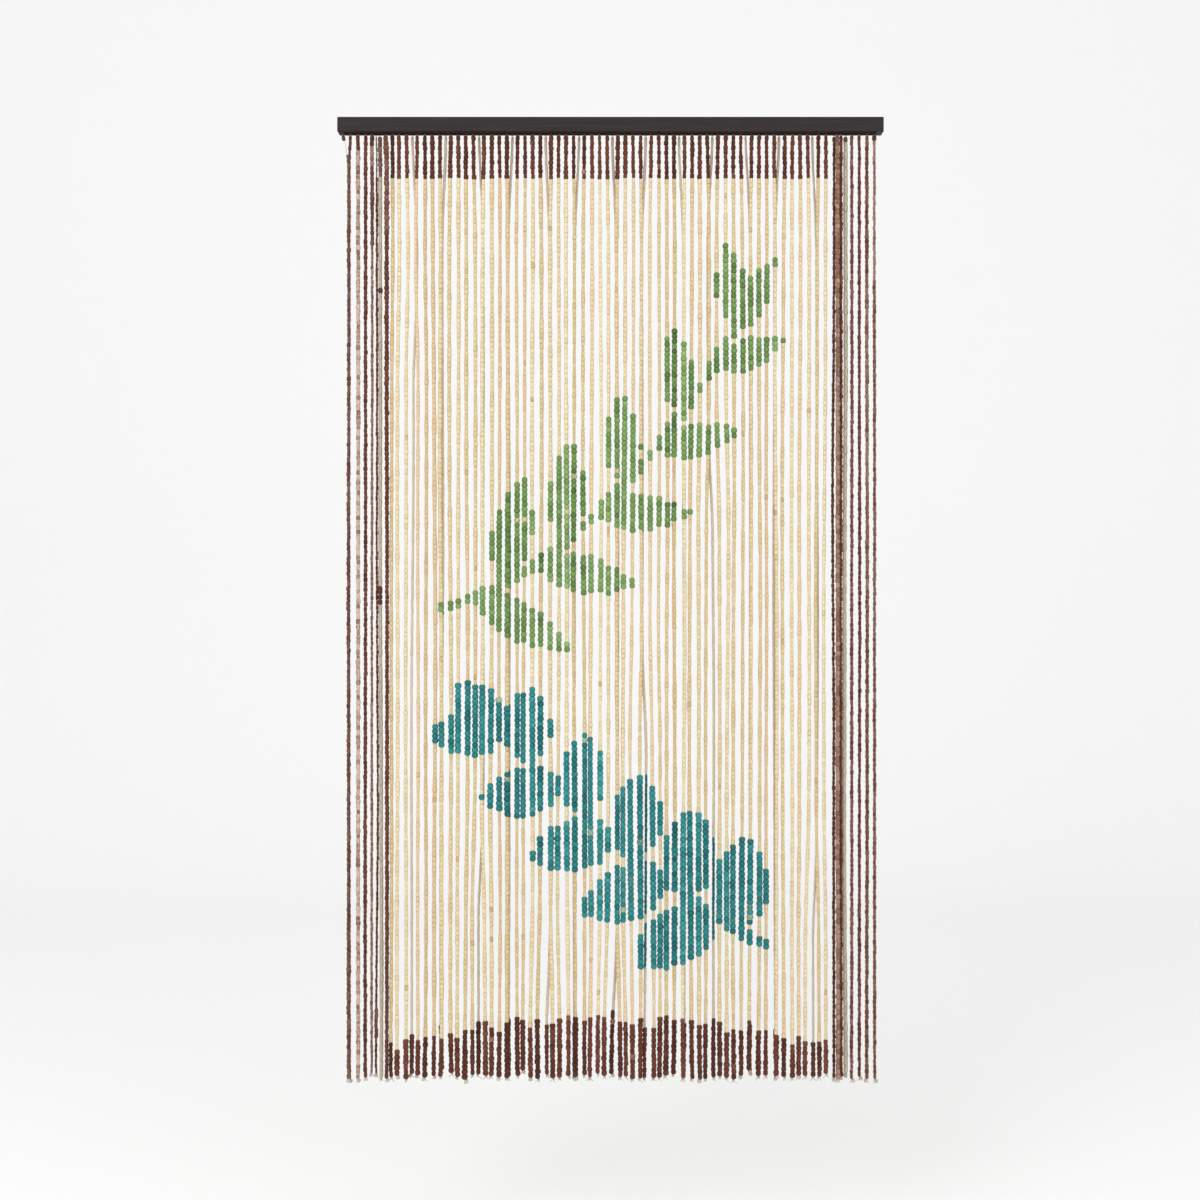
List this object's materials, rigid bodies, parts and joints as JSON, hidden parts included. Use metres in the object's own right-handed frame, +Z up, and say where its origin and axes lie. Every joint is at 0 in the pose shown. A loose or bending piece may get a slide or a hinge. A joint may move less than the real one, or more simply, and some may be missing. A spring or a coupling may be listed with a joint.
{
  "type": "bead curtain on a rail",
  "caption": "Doorway curtain of wooden bead strands hung from a dark wooden rail, cream with brown bands and leaf sprays in green and teal.",
  "frame": {"origin": "centre of the rail's flat back face, which lies against the wall or the door frame", "axes": "+X along the rail to the right seen from the front, +Y back into the wall, +Z up; the front faces -Y"},
  "size_m": [1.13, 0.03, 2.0052],
  "materials": {
    "rail_paint": "dark satin paint on wood",
    "cream_beads": "natural turned wood, lightly varnished",
    "brown_beads": "turned wood with a red-brown stain",
    "beige_beads": "unstained turned wood, slim beads",
    "green_beads": "turned wood with a green paint",
    "teal_beads": "turned wood with a teal paint",
    "eye_metal": "small plated screw eyes",
    "thread": "off-white waxed thread with knots"
  },
  "bodies": {
    "root": {"rail": "rail_paint", "field_strands": "cream_beads", "edge_strands_left": "brown_beads", "edge_strands_right": "brown_beads", "back_strands": "beige_beads"}
  },
  "joints": []
}
